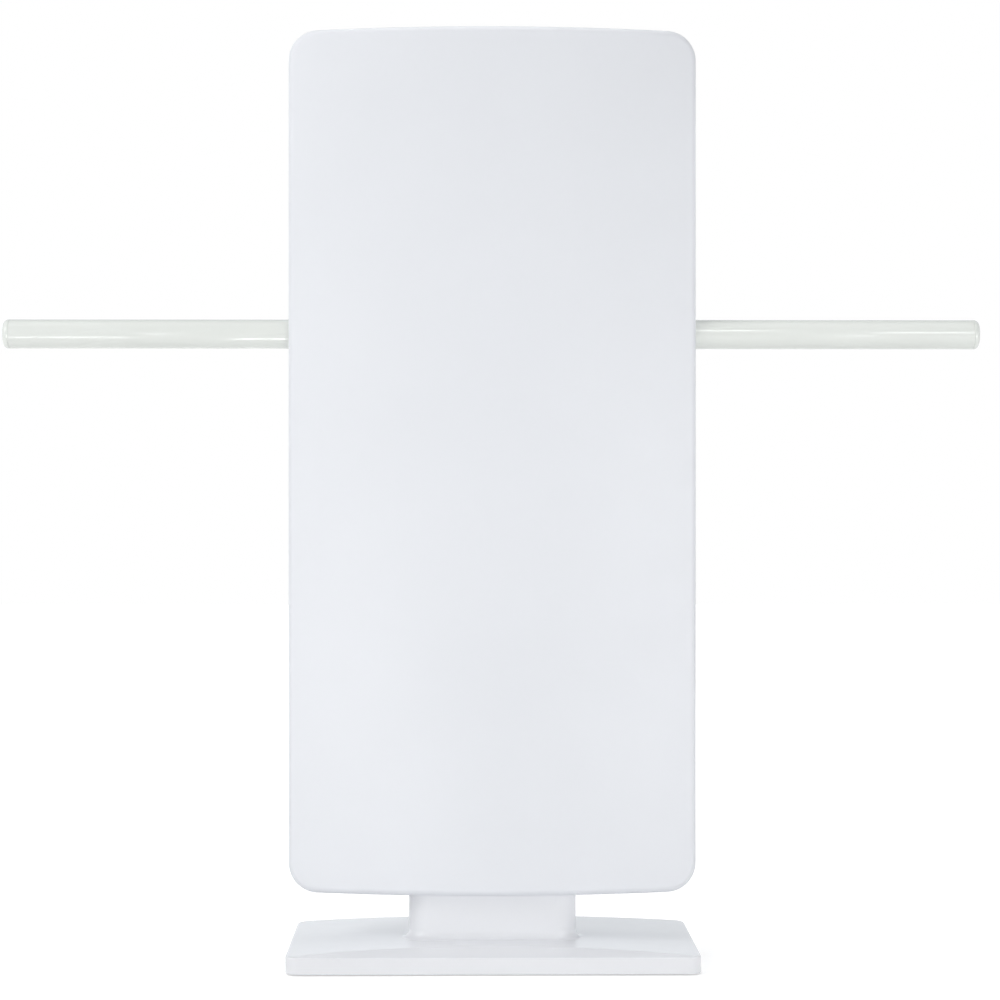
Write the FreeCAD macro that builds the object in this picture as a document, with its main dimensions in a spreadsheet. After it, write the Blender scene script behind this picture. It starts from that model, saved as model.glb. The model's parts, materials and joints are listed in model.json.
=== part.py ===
import FreeCAD, Part
import math
import os
import Sketcher

# Panel antenna on a stand, in millimetres.
# X runs to the viewer's right, Y runs to the back and Z runs up.
# The origin lies under the middle of the base, on the table.
# The plane where the two covers of the panel meet is Y = 0.

os.makedirs("parts", exist_ok=True)
doc = FreeCAD.newDocument("panel_antenna")
sheet = doc.addObject("Spreadsheet::Sheet", "Sizes")

SIZES = {
    # panel housing
    "panel_width": 290.0,
    "panel_height": 612.0,
    "panel_depth": 50.0,
    "panel_corner": 20.5,
    "front_radius": 483.0,
    "rim_round": 4.5,
    "back_round": 4.0,
    "seam_round": 0.5,
    "edge_break": 0.4,
    "cover_wall": 2.6,
    "rear_depth": 14.0,
    "lip_height": 2.0,
    "lip_wall": 1.4,
    "lip_root": 5.0,
    # ribs inside the covers
    "rib_wall": 1.5,
    "rib_rise": 4.0,
    "rib_near": 36.0,
    "rib_far": 100.0,
    "rib_reach": 118.0,
    "rib_end": 26.0,
    "rib_pitch": 120.0,
    "front_rib_deep": 14.0,
    "front_rib_across": 60.0,
    # screws that join the two covers
    "cover_screw_inset": 16.0,
    "cover_screw_end": 20.0,
    "cover_screw_radius": 1.75,
    "cover_screw_length": 20.0,
    "cover_head_radius": 3.4,
    "cover_head_height": 2.4,
    "cover_head_sink": 4.0,
    "boss_wall": 2.9,
    # bracket pad on the back
    "bracket_pitch_across": 100.0,
    "bracket_pitch_up": 100.0,
    "bracket_pad_margin": 13.0,
    "bracket_pad_rise": 1.5,
    "bracket_pad_corner": 10.0,
    "insert_radius": 2.9,
    "insert_bore": 2.0,
    "insert_length": 8.0,
    # loops, board and amplifier
    "loop_gap": 7.0,
    "loop_radius": 95.0,
    "loop_band": 22.0,
    "loop_sheet": 1.0,
    "leg_gap": 10.0,
    "leg_width": 12.0,
    "leg_overlap": 14.0,
    "board_width": 60.0,
    "board_height": 110.0,
    "board_thick": 1.6,
    "board_stand": 5.0,
    "can_width": 52.0,
    "can_height": 60.0,
    "can_depth": 8.0,
    "can_sheet": 0.5,
    "core_width": 13.0,
    "core_height": 13.0,
    "core_depth": 6.5,
    "core_hole": 2.0,
    "core_pitch": 6.0,
    "core_raise": 13.0,
    "chip_width": 5.0,
    "chip_height": 5.0,
    "chip_depth": 1.4,
    "chip_drop": 10.0,
    "small_screw_radius": 1.45,
    "small_screw_length": 6.0,
    "small_head_radius": 2.8,
    "small_head_height": 1.9,
    "post_wall": 2.2,
    # coax outlet
    "bay_width": 42.0,
    "bay_depth": 15.6,
    "jack_set": 8.8,
    "bay_wall": 2.6,
    "bay_top": 134.0,
    "bay_height": 42.0,
    "jack_radius": 4.75,
    "jack_free": 10.0,
    "jack_bore": 3.6,
    "jack_tail": 6.0,
    "jack_hex": 11.0,
    "jack_flange": 3.0,
    "washer_radius": 5.9,
    "washer_thick": 0.8,
    "nut_thick": 2.6,
    "core_inset": 0.5,
    "contact_radius": 1.3,
    "contact_bore": 0.6,
    "contact_depth": 9.0,
    "coax_radius": 1.8,
    "coax_bend": 22.0,
    "coax_run": 8.0,
    # rods
    "rod_raise": 72.5,
    "rod_length": 204.0,
    "rod_radius": 10.5,
    "rod_wall": 2.0,
    "cap_length": 4.2,
    "cap_round": 3.6,
    "cap_edge": 0.3,
    "cap_spigot": 14.0,
    "cap_seat": 8.0,
    "plug_length": 12.0,
    "element_radius": 5.0,
    "element_set_in": 2.0,
    "stud_radius": 4.0,
    "stud_in_socket": 15.0,
    "stud_in_rod": 30.0,
    "socket_radius": 6.0,
    "socket_flange_radius": 8.5,
    "socket_flange": 2.0,
    "socket_end": 2.0,
    "lead_radius": 1.1,
    "lead_bend": 6.0,
    "lead_place": 22.0,
    # stand
    "foot_drop": 1.0,
    "foot_sink": 1.0,
    "foot_radius": 8.0,
    "foot_inset_across": 21.0,
    "foot_inset_deep": 19.0,
    "base_inset": 1.5,
    "base_depth": 150.0,
    "base_edge": 12.0,
    "base_crown": 4.2,
    "base_corner": 8.5,
    "base_round": 1.2,
    "base_foot_round": 0.6,
    "bevel_depth": 20.0,
    "bevel_dip": 0.6,
    "crease_round": 8.0,
    "base_wall": 3.0,
    "neck_width": 119.0,
    "neck_depth": 30.0,
    "neck_corner": 14.4,
    "neck_forward": 10.0,
    "neck_clear": 31.2,
    "neck_fillet": 5.5,
    "tongue_step": 2.2,
    "tongue_height": 40.0,
    "tongue_wall": 2.8,
    "neck_screw_across": 40.0,
    "neck_screw_up": 20.0,
    "neck_screw_length": 16.0,
    "tongue_boss_length": 11.0,
    "bottom_thick": 2.5,
    "bottom_screw_across": 96.0,
    "bottom_screw_deep": 62.0,
    "bottom_screw_length": 6.0,
    "bottom_head_sink": 1.5,
    "bottom_head_height": 1.3,
    "ballast_width": 210.0,
    "ballast_depth": 86.0,
    "ballast_thick": 3.0,
    # clearances
    "slip_gap": 0.2,
    "thread_gap": 0.05,
    "seat_gap": 0.1,
    # how far a cutter runs past a face, and how far a boss sinks into its wall
    "cut_over": 1.0,
    "root_sink": 0.5,
}


class Size:
    """A number together with the sheet expression that gives it."""

    def __init__(self, value, text):
        self.value = value
        self.text = text

    def __add__(self, other):
        other = lift(other)
        return Size(self.value + other.value, f"({self.text} + {other.text})")

    def __sub__(self, other):
        other = lift(other)
        return Size(self.value - other.value, f"({self.text} - {other.text})")

    def __mul__(self, other):
        other = lift(other)
        return Size(self.value * other.value, f"({self.text} * {other.text})")

    def __truediv__(self, other):
        other = lift(other)
        return Size(self.value / other.value, f"({self.text} / {other.text})")

    def __neg__(self):
        return Size(-self.value, f"(-1 * {self.text})")

    def root(self):
        return Size(math.sqrt(self.value), f"sqrt({self.text})")


def lift(number):
    if isinstance(number, Size):
        return number
    return Size(float(number), f"({float(number)})")


row = 0
for alias, number in SIZES.items():
    row = row + 1
    sheet.set(f"A{row}", alias)
    sheet.set(f"B{row}", str(number))
    sheet.setAlias(f"B{row}", alias)
doc.recompute()


def size(alias):
    return Size(float(sheet.get(alias)), f"Sizes.{alias}")


# The plane each sketch lies on, the sign of its offset and the pad direction.
OFFSET_SIGN = {"XY": 1.0, "XZ": -1.0, "YZ": 1.0}
PAD_REVERSED = {"XY": False, "XZ": True, "YZ": False}


def new_body(name, many=False):
    body = doc.addObject("PartDesign::Body", name)
    body.AllowCompound = many
    return body


def new_sketch(body, plane, place):
    sketch = body.newObject("Sketcher::SketchObject", f"{body.Name}_sketch")
    support = [f for f in body.Origin.OriginFeatures if f.Role == f"{plane}_Plane"][0]
    sketch.AttachmentSupport = [(support, "")]
    sketch.MapMode = "FlatFace"
    offset = lift(place) * OFFSET_SIGN[plane]
    sketch.AttachmentOffset = FreeCAD.Placement(FreeCAD.Vector(0, 0, offset.value), FreeCAD.Rotation())
    sketch.setExpression(".AttachmentOffset.Base.z", offset.text)
    return sketch


def fix(sketch, kind, geometry, point, amount):
    """Pin one coordinate of a point to the sheet."""
    constraint = Sketcher.Constraint(kind, -1, 1, geometry, point, amount.value)
    number = sketch.addConstraint(constraint)
    sketch.setExpression(f"Constraints[{number}]", amount.text)


def fix_radius(sketch, geometry, amount):
    number = sketch.addConstraint(Sketcher.Constraint("Radius", geometry, amount.value))
    sketch.setExpression(f"Constraints[{number}]", amount.text)


def draw_circle(sketch, across, up, radius):
    across = lift(across)
    up = lift(up)
    centre = FreeCAD.Vector(across.value, up.value, 0)
    circle = Part.Circle(centre, FreeCAD.Vector(0, 0, 1), radius.value)
    geometry = sketch.addGeometry(circle, False)
    fix(sketch, "DistanceX", geometry, 3, across)
    fix(sketch, "DistanceY", geometry, 3, up)
    fix_radius(sketch, geometry, radius)


def arc_between(start, end, radius, left):
    """An arc that runs from start to end, with its centre left or right of the chord."""
    chord = end - start
    half = chord.Length / 2.0
    rise = math.sqrt(max(radius * radius - half * half, 0.0))
    side = FreeCAD.Vector(-chord.y, chord.x, 0)
    side.normalize()
    if not left:
        side = side * -1.0
    centre = (start + end) * 0.5 + side * rise
    first = math.atan2(start.y - centre.y, start.x - centre.x)
    last = math.atan2(end.y - centre.y, end.x - centre.x)
    circle = Part.Circle(centre, FreeCAD.Vector(0, 0, 1), radius)
    if left:
        return Part.ArcOfCircle(circle, first, last), 1, 2
    return Part.ArcOfCircle(circle, last, first), 2, 1


def draw_path(sketch, corners, closed=True):
    """Lines and arcs through the corners. A corner of four values starts an arc."""
    corners = [(lift(c[0]), lift(c[1])) + tuple(c[2:]) for c in corners]
    spots = [FreeCAD.Vector(c[0].value, c[1].value, 0) for c in corners]
    count = len(corners) if closed else len(corners) - 1
    pieces = []
    for index in range(count):
        start = spots[index]
        end = spots[(index + 1) % len(corners)]
        corner = corners[index]
        if len(corner) == 4:
            curve, first, last = arc_between(start, end, corner[2].value, corner[3])
        else:
            curve, first, last = Part.LineSegment(start, end), 1, 2
        geometry = sketch.addGeometry(curve, False)
        pieces.append((geometry, first, last))
    for index in range(count if closed else count - 1):
        here = pieces[index]
        following = pieces[(index + 1) % len(pieces)]
        joint = Sketcher.Constraint("Coincident", here[0], here[2], following[0], following[1])
        sketch.addConstraint(joint)
    for index, corner in enumerate(corners):
        if index < count:
            geometry, point = pieces[index][0], pieces[index][1]
        else:
            geometry, point = pieces[-1][0], pieces[-1][2]
        fix(sketch, "DistanceX", geometry, point, corner[0])
        fix(sketch, "DistanceY", geometry, point, corner[1])
    for index in range(count):
        if len(corners[index]) == 4:
            fix_radius(sketch, pieces[index][0], corners[index][2])


def draw_box(sketch, left, right, low, high):
    draw_path(sketch, [(left, low), (right, low), (right, high), (left, high)])


def draw_round_box(sketch, left, right, low, high, radius):
    left = lift(left)
    right = lift(right)
    low = lift(low)
    high = lift(high)
    corners = [
        (left + radius, low),
        (right - radius, low, radius, True),
        (right, low + radius),
        (right, high - radius, radius, True),
        (right - radius, high),
        (left + radius, high, radius, True),
        (left, high - radius),
        (left, low + radius, radius, True),
    ]
    draw_path(sketch, corners)


def draw_hexagon(sketch, across, up, flats):
    """A hexagon with two flats square to the sketch's second axis."""
    reach = flats / math.sqrt(3.0)
    half = flats / 2.0
    corners = [
        (across + reach, up),
        (across + reach / 2.0, up + half),
        (across - reach / 2.0, up + half),
        (across - reach, up),
        (across - reach / 2.0, up - half),
        (across + reach / 2.0, up - half),
    ]
    draw_path(sketch, corners)


def add_pad(body, plane, start, end, draw):
    """Pad what draw puts in the sketch, from start to end along the plane's axis."""
    start = lift(start)
    length = lift(end) - start
    sketch = new_sketch(body, plane, start)
    draw(sketch)
    pad = body.newObject("PartDesign::Pad", f"{body.Name}_pad")
    pad.Profile = sketch
    pad.Length = length.value
    pad.setExpression("Length", length.text)
    pad.Reversed = PAD_REVERSED[plane]
    pad.Refine = True
    doc.recompute()
    return pad


def add_pocket(body, plane, start, end, draw):
    """Cut what draw puts in the sketch, from start to end along the plane's axis."""
    start = lift(start)
    length = lift(end) - start
    before = body.Shape.Volume
    sketch = new_sketch(body, plane, start)
    draw(sketch)
    pocket = body.newObject("PartDesign::Pocket", f"{body.Name}_pocket")
    pocket.Profile = sketch
    pocket.Length = length.value
    pocket.setExpression("Length", length.text)
    pocket.Reversed = not PAD_REVERSED[plane]
    pocket.Refine = True
    doc.recompute()
    if body.Shape.Volume > before - 1e-6:
        raise RuntimeError(f"{pocket.Name} removed nothing")
    return pocket


def add_revolution(body, corners):
    """Turn a profile in the XZ plane about the X axis."""
    sketch = new_sketch(body, "XZ", 0.0)
    draw_path(sketch, corners)
    turned = body.newObject("PartDesign::Revolution", f"{body.Name}_turned")
    turned.Profile = sketch
    turned.ReferenceAxis = (sketch, ["H_Axis"])
    turned.Angle = 360.0
    doc.recompute()
    return turned


def border_edges(shape, belongs):
    """Names of the edges where a face that belongs meets one that does not."""
    names = []
    for number, edge in enumerate(shape.Edges, 1):
        faces = shape.ancestorsOfType(edge, Part.Face)
        inside = [f for f in faces if belongs(f)]
        if len(inside) == 1 and len(faces) == 2:
            names.append(f"Edge{number}")
    return names


def shared_edges(shape, belongs):
    """Names of the edges between two faces that both belong."""
    names = []
    for number, edge in enumerate(shape.Edges, 1):
        faces = shape.ancestorsOfType(edge, Part.Face)
        if len(faces) == 2 and all(belongs(f) for f in faces):
            names.append(f"Edge{number}")
    return names


def facing(face):
    low_u, high_u, low_v, high_v = face.ParameterRange
    return face.normalAt((low_u + high_u) / 2.0, (low_v + high_v) / 2.0)


def add_fillet(body, names, radius):
    base = body.Tip
    fillet = body.newObject("PartDesign::Fillet", f"{body.Name}_fillet")
    fillet.Base = (base, names)
    fillet.Radius = radius.value
    fillet.setExpression("Radius", radius.text)
    doc.recompute()
    return fillet


def add_pipe(body, path_plane, path_place, path, ring_plane, ring_place, across, up, radius):
    """Sweep a round section along an open path of lines and arcs."""
    spine = new_sketch(body, path_plane, path_place)
    draw_path(spine, path, closed=False)
    ring = new_sketch(body, ring_plane, ring_place)
    draw_circle(ring, across, up, radius)
    pipe = body.newObject("PartDesign::AdditivePipe", f"{body.Name}_pipe")
    pipe.Profile = ring
    pipe.Spine = (spine, [])
    doc.recompute()
    return pipe


nodes = []


def finish_node(piece, label):
    piece.Label = label
    nodes.append(piece)


def combine(kind, name, pieces):
    whole = doc.addObject(kind, name)
    if kind in ("Part::Cut", "Part::Common"):
        whole.Base = pieces[0]
        whole.Tool = pieces[1]
        if kind == "Part::Cut":
            whole.Refine = True
    else:
        whole.Shapes = pieces
        whole.Refine = True
    doc.recompute()
    return whole


# Values that several pieces share.
wall = size("cover_wall")
slip = size("slip_gap")
over = size("cut_over")
sink = size("root_sink")
thread_gap = size("thread_gap")
seat_gap = size("seat_gap")
half_panel = size("panel_width") / 2.0
panel_back = size("rear_depth")
panel_front = panel_back - size("panel_depth")
base_low = size("foot_drop")
base_rim = base_low + size("base_edge")
base_top = base_rim + size("base_crown")
panel_low = base_top + size("neck_clear")
panel_high = panel_low + size("panel_height")
rear_floor = panel_back - wall
neck_middle = -size("neck_forward")
tongue_half = size("neck_width") / 2.0 - size("tongue_step")
tongue_front = neck_middle - size("neck_depth") / 2.0 + size("tongue_step")
tongue_back = neck_middle + size("neck_depth") / 2.0 - size("tongue_step")
tongue_corner = size("neck_corner") - size("tongue_step")
tongue_high = panel_low + size("tongue_height")
upper_up = panel_high - wall - size("loop_gap") - size("loop_radius")
lower_up = tongue_high + size("loop_gap") + size("loop_radius")
array_up = (upper_up + lower_up) / 2.0
rod_up = array_up + size("rod_raise")
board_back = rear_floor - size("board_stand")
board_front = board_back - size("board_thick")
board_low = array_up - size("board_height") / 2.0
board_high = array_up + size("board_height") / 2.0
loop_front = board_front - size("loop_sheet")
band_middle = size("loop_radius") - size("loop_band") / 2.0
leg_middle = size("leg_gap") / 2.0 + size("leg_width") / 2.0
upper_feed = board_high - size("leg_overlap") / 2.0
lower_feed = board_low + size("leg_overlap") / 2.0
bay_high = panel_low + size("bay_top")
bay_low = bay_high - size("bay_height")
bay_floor = panel_back - size("bay_depth")
jack_back = panel_back - size("jack_set")
boss_radius = size("cover_screw_radius") + size("boss_wall")
post_radius = size("small_screw_radius") + size("post_wall")

cover_rows = 5
screw_pitch = (size("panel_height") - size("cover_screw_end") * 2.0) / (cover_rows - 1)
screw_across = half_panel - size("cover_screw_inset")
cover_spots = []
for step in range(cover_rows):
    screw_up = panel_low + size("cover_screw_end") + screw_pitch * step
    cover_spots.append((-screw_across, screw_up))
    cover_spots.append((screw_across, screw_up))

loop_spots = [
    (lift(0.0), upper_up + band_middle),
    (-band_middle, upper_up),
    (band_middle, upper_up),
    (lift(0.0), lower_up - band_middle),
    (-band_middle, lower_up),
    (band_middle, lower_up),
]
feed_spots = [
    (-leg_middle, upper_feed),
    (leg_middle, upper_feed),
    (-leg_middle, lower_feed),
    (leg_middle, lower_feed),
]
half_across = size("bracket_pitch_across") / 2.0
half_up = size("bracket_pitch_up") / 2.0
bracket_spots = [
    (-half_across, array_up - half_up),
    (half_across, array_up - half_up),
    (-half_across, array_up + half_up),
    (half_across, array_up + half_up),
]
neck_spots = [
    (-size("neck_screw_across"), panel_low + size("neck_screw_up")),
    (size("neck_screw_across"), panel_low + size("neck_screw_up")),
]


def circles(spots, radius):
    def draw(sketch):
        for across, up in spots:
            draw_circle(sketch, across, up, radius)
    return draw


def panel_outline(inset):
    def draw(sketch):
        left = inset - half_panel
        right = half_panel - inset
        radius = size("panel_corner") - inset
        draw_round_box(sketch, left, right, panel_low + inset, panel_high - inset, radius)
    return draw


def bowed_block(name, inset, rear):
    """The front of the panel, drawn in by inset, from its bowed face back to rear."""
    body = new_body(name)
    front = panel_front + inset
    radius = size("front_radius") - inset
    add_pad(body, "XZ", front, rear, panel_outline(inset))
    reach = half_panel - inset + over
    edge = front + radius - (radius * radius - reach * reach).root()

    def bow(sketch):
        corners = [
            (-reach, front - over),
            (reach, front - over),
            (reach, edge, radius, False),
            (-reach, edge),
        ]
        draw_path(sketch, corners)

    add_pocket(body, "XY", panel_low - over, panel_high + over, bow)
    rim = border_edges(body.Shape, lambda face: facing(face).y < -0.8)
    add_fillet(body, rim, size("rim_round") - inset)
    return body


def tongue_opening(sketch):
    left = -tongue_half - slip
    right = tongue_half + slip
    draw_round_box(sketch, left, right, tongue_front - slip, tongue_back + slip, tongue_corner + slip)


def upright_ribs(columns, low):
    """Thin walls that run up the panel, one at each place across it."""
    half = size("rib_wall") / 2.0

    def draw(sketch):
        for across in columns:
            draw_box(sketch, across - half, across + half, low, panel_high - size("rib_end"))
    return draw


def level_ribs(rows):
    """Thin walls that run across the panel, one at each height."""
    half = size("rib_wall") / 2.0
    reach = size("rib_reach")

    def draw(sketch):
        for up in rows:
            draw_box(sketch, -reach, reach, up - half, up + half)
    return draw


# Front cover: bowed shell, lip, bosses and ribs, then the openings.
front_block = bowed_block("front_block", lift(0.0), lift(0.0))
front_seam = border_edges(front_block.Shape, lambda face: facing(face).y > 0.8)
add_fillet(front_block, front_seam, size("seam_round"))
front_hollow = bowed_block("front_hollow", wall, over)
front_shell = combine("Part::Cut", "front_shell", [front_block, front_hollow])

front_lip = new_body("front_lip")
lip_inner = wall + slip + size("lip_wall")


def lip_root_ring(sketch):
    panel_outline(wall - sink)(sketch)
    panel_outline(lip_inner)(sketch)


def lip_ring(sketch):
    panel_outline(wall + slip)(sketch)
    panel_outline(lip_inner)(sketch)


add_pad(front_lip, "XZ", -size("lip_root"), 0.0, lip_root_ring)
add_pad(front_lip, "XZ", 0.0, size("lip_height"), lip_ring)

boss_bars = new_body("boss_bars", many=True)
add_pad(boss_bars, "XZ", panel_front, 0.0, circles(cover_spots, boss_radius))
front_bosses = combine("Part::Common", "front_bosses", [boss_bars, front_block])
rib_rows = [array_up + size("rib_pitch") * step for step in (-2.0, -1.0, 0.0, 1.0, 2.0)]
rib_bars = new_body("front_rib_bars", many=True)
front_rib_top = panel_front + size("front_rib_deep")
front_columns = [-size("front_rib_across"), lift(0.0), size("front_rib_across")]
add_pad(rib_bars, "XZ", panel_front, front_rib_top, upright_ribs(front_columns, tongue_high))
add_pad(rib_bars, "XZ", panel_front, front_rib_top, level_ribs(rib_rows))
front_ribs = combine("Part::Common", "front_ribs", [rib_bars, front_block])
front_solid = combine("Part::MultiFuse", "front_solid", [front_shell, front_lip, front_bosses, front_ribs])

front_cutters = new_body("front_cutters", many=True)
screw_seat = panel_back - size("cover_head_sink")
screw_tip = screw_seat - size("cover_screw_length")
pilot_radius = size("cover_screw_radius") + thread_gap
add_pad(front_cutters, "XZ", screw_tip - sink, sink, circles(cover_spots, pilot_radius))
add_pad(front_cutters, "XY", panel_low - over, panel_low + lip_inner + sink, tongue_opening)
side_inner = half_panel - wall
socket_hole = size("socket_radius") + slip
flange_room = size("socket_flange_radius") + slip
for low, high, radius in (
    (-half_panel - over, -side_inner + sink, socket_hole),
    (side_inner - sink, half_panel + over, socket_hole),
    (-side_inner, -side_inner + size("socket_flange") + slip, flange_room),
    (side_inner - size("socket_flange") - slip, side_inner, flange_room),
):
    add_pad(front_cutters, "YZ", low, high, circles([(lift(0.0), rod_up)], radius))
front_cover = combine("Part::Cut", "front_cover_cut", [front_solid, front_cutters])
finish_node(front_cover, "front_cover")

# Rear cover: a ribbed tray with towers, posts, a bracket pad and the jack bay.
rear = new_body("rear_tray")
add_pad(rear, "XZ", 0.0, panel_back, panel_outline(lift(0.0)))
back_rim = border_edges(rear.Shape, lambda face: facing(face).y > 0.8)
add_fillet(rear, back_rim, size("back_round"))
rear_seam = border_edges(rear.Shape, lambda face: facing(face).y < -0.8)
add_fillet(rear, rear_seam, size("seam_round"))
add_pocket(rear, "XZ", -over, rear_floor, panel_outline(wall))

bay_half = size("bay_width") / 2.0
bay_wall = size("bay_wall")
slope_wall = bay_wall * math.sqrt(2.0)


def bay_shell(sketch):
    deep = bay_floor - bay_wall
    shallow = rear_floor + sink
    low = bay_low - slope_wall + bay_wall
    corners = [
        (deep, bay_high + bay_wall),
        (deep, low),
        (shallow, low - (shallow - deep)),
        (shallow, bay_high + bay_wall),
    ]
    draw_path(sketch, corners)


def bay_space(sketch):
    out = panel_back + over
    corners = [
        (bay_floor, bay_high),
        (bay_floor, bay_low),
        (out, bay_low - (out - bay_floor)),
        (out, bay_high),
    ]
    draw_path(sketch, corners)


rib_top = rear_floor - size("rib_rise")
rear_columns = [-size("rib_far"), -size("rib_near"), size("rib_near"), size("rib_far")]
add_pad(rear, "XZ", rib_top, rear_floor + sink, upright_ribs(rear_columns, panel_low + size("rib_end")))
add_pad(rear, "XZ", rib_top, rear_floor + sink, level_ribs(rib_rows))
add_pad(rear, "YZ", -bay_half - bay_wall, bay_half + bay_wall, bay_shell)
add_pad(rear, "XZ", 0.0, rear_floor + sink, circles(cover_spots, boss_radius))
add_pad(rear, "XZ", board_front, rear_floor + sink, circles(loop_spots, post_radius))
add_pad(rear, "XZ", board_back, rear_floor + sink, circles(feed_spots, post_radius))
pad_face = panel_back + size("bracket_pad_rise")
insert_floor = pad_face - size("insert_length")
insert_boss = size("insert_radius") + size("boss_wall")
add_pad(rear, "XZ", insert_floor - wall, rear_floor + sink, circles(bracket_spots, insert_boss))
neck_boss = size("cover_screw_radius") + size("boss_wall")
add_pad(rear, "XZ", tongue_back + slip, rear_floor + sink, circles(neck_spots, neck_boss))


def bracket_pad(sketch):
    wide = half_across + size("bracket_pad_margin")
    tall = half_up + size("bracket_pad_margin")
    corner = size("bracket_pad_corner")
    draw_round_box(sketch, -wide, wide, array_up - tall, array_up + tall, corner)


add_pad(rear, "XZ", panel_back - sink, pad_face, bracket_pad)
pad_rim = border_edges(rear.Shape, lambda face: face.CenterOfMass.y > pad_face.value - sink.value / 2.0)
add_fillet(rear, pad_rim, size("edge_break"))
add_pocket(rear, "YZ", -bay_half, bay_half, bay_space)
head_hole = size("cover_head_radius") + slip
shank_hole = size("cover_screw_radius") + slip
add_pocket(rear, "XZ", screw_seat, panel_back + over, circles(cover_spots, head_hole))
add_pocket(rear, "XZ", -over, screw_seat + sink, circles(cover_spots, shank_hole))
small_pilot = size("small_screw_radius") + thread_gap
loop_tip = loop_front + size("small_screw_length")
feed_tip = loop_front + size("small_screw_length")
add_pocket(rear, "XZ", board_front - sink, loop_tip + sink, circles(loop_spots, small_pilot))
add_pocket(rear, "XZ", board_back - sink, feed_tip + sink, circles(feed_spots, small_pilot))
insert_hole = size("insert_radius") + thread_gap
jack_hole = size("jack_radius") + slip
add_pocket(rear, "XZ", insert_floor, pad_face + over, circles(bracket_spots, insert_hole))
add_pocket(rear, "XZ", screw_seat, panel_back + over, circles(neck_spots, head_hole))
add_pocket(rear, "XZ", tongue_back - sink, screw_seat + sink, circles(neck_spots, shank_hole))
jack_spot = [(lift(0.0), jack_back)]
add_pocket(rear, "XY", bay_high - sink, bay_high + bay_wall + sink, circles(jack_spot, jack_hole))
add_pocket(rear, "XY", panel_low - over, panel_low + wall + sink, tongue_opening)
rod_spot = [(lift(0.0), rod_up)]
add_pocket(rear, "YZ", -half_panel - over, -side_inner + sink, circles(rod_spot, socket_hole))
add_pocket(rear, "YZ", side_inner - sink, half_panel + over, circles(rod_spot, socket_hole))


def screw_mouth(edge):
    """The rim of a screw's counterbore, on the back of the panel."""
    if edge.Curve.TypeId != "Part::GeomCircle":
        return False
    same_size = abs(edge.Curve.Radius - head_hole.value) < 1e-6
    return same_size and abs(edge.Curve.Center.y - panel_back.value) < 1e-6


mouth_low = bay_low - size("bay_depth")


def bay_mouth(edge):
    """One of the four straight edges round the mouth of the jack bay."""
    box = edge.BoundBox
    on_back = abs(box.YMin - panel_back.value) < 1e-6 and abs(box.YMax - panel_back.value) < 1e-6
    within = max(abs(box.XMin), abs(box.XMax)) < bay_half.value + 1e-6
    return on_back and within and box.ZMin > mouth_low.value - 1e-6 and box.ZMax < bay_high.value + 1e-6


mouth_names = []
for number, edge in enumerate(rear.Shape.Edges, 1):
    if screw_mouth(edge) or bay_mouth(edge):
        mouth_names.append(f"Edge{number}")
add_fillet(rear, mouth_names, size("edge_break"))
finish_node(rear, "rear_cover")

# Screws and inserts of the covers. Each group is one node of separate solids.
cover_screws = new_body("cover_screw_group", many=True)
add_pad(cover_screws, "XZ", screw_tip, screw_seat, circles(cover_spots, size("cover_screw_radius")))
head_top = screw_seat + size("cover_head_height")
add_pad(cover_screws, "XZ", screw_seat, head_top, circles(cover_spots, size("cover_head_radius")))
finish_node(cover_screws, "cover_screws")

inserts = new_body("insert_group", many=True)
add_pad(inserts, "XZ", insert_floor, pad_face, circles(bracket_spots, size("insert_radius")))
add_pocket(inserts, "XZ", insert_floor - sink, pad_face + sink, circles(bracket_spots, size("insert_bore")))
finish_node(inserts, "bracket_inserts")


# Loops: a ring with a gap, and two legs that run on to the board.
def loop(name, middle, turn, feed, spots, leg_end):
    body = new_body(name)

    def ring(sketch):
        draw_circle(sketch, 0.0, middle, size("loop_radius"))
        draw_circle(sketch, 0.0, middle, size("loop_radius") - size("loop_band"))

    add_pad(body, "XZ", loop_front, board_front, ring)
    near = middle - band_middle * turn
    gap = size("leg_gap") / 2.0
    outer = gap + size("leg_width")

    def legs(sketch):
        ends = (leg_end, near) if turn > 0 else (near, leg_end)
        draw_box(sketch, -outer, -gap, ends[0], ends[1])
        draw_box(sketch, gap, outer, ends[0], ends[1])

    def opening(sketch):
        far = middle - size("loop_radius") * turn - over * turn
        inner = middle - (size("loop_radius") - size("loop_band")) * turn + over * 2.0 * turn
        ends = (far, inner) if turn > 0 else (inner, far)
        draw_box(sketch, -gap, gap, ends[0], ends[1])

    add_pad(body, "XZ", loop_front, board_front, legs)
    add_pocket(body, "XZ", loop_front - sink, board_front + sink, opening)
    hole = size("small_screw_radius") + slip
    add_pocket(body, "XZ", loop_front - sink, board_front + sink, circles(spots + feed, hole))
    return body


upper_end = board_high - size("leg_overlap")
lower_end = board_low + size("leg_overlap")
upper_loop = loop("upper_loop_sheet", upper_up, 1.0, feed_spots[:2], loop_spots[:3], upper_end)
finish_node(upper_loop, "upper_loop")
lower_loop = loop("lower_loop_sheet", lower_up, -1.0, feed_spots[2:], loop_spots[3:], lower_end)
finish_node(lower_loop, "lower_loop")


def small_screws(name, spots, seat):
    body = new_body(name, many=True)
    tip = seat + size("small_screw_length")
    add_pad(body, "XZ", seat, tip, circles(spots, size("small_screw_radius")))
    add_pad(body, "XZ", seat - size("small_head_height"), seat, circles(spots, size("small_head_radius")))
    return body


finish_node(small_screws("loop_screw_group", loop_spots, loop_front), "loop_screws")
finish_node(small_screws("feed_screw_group", feed_spots, loop_front), "feed_screws")

# Amplifier board with its can, balun core and chip.
board = new_body("board_blank")
board_half = size("board_width") / 2.0


def board_outline(sketch):
    draw_box(sketch, -board_half, board_half, board_low, board_high)


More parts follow.
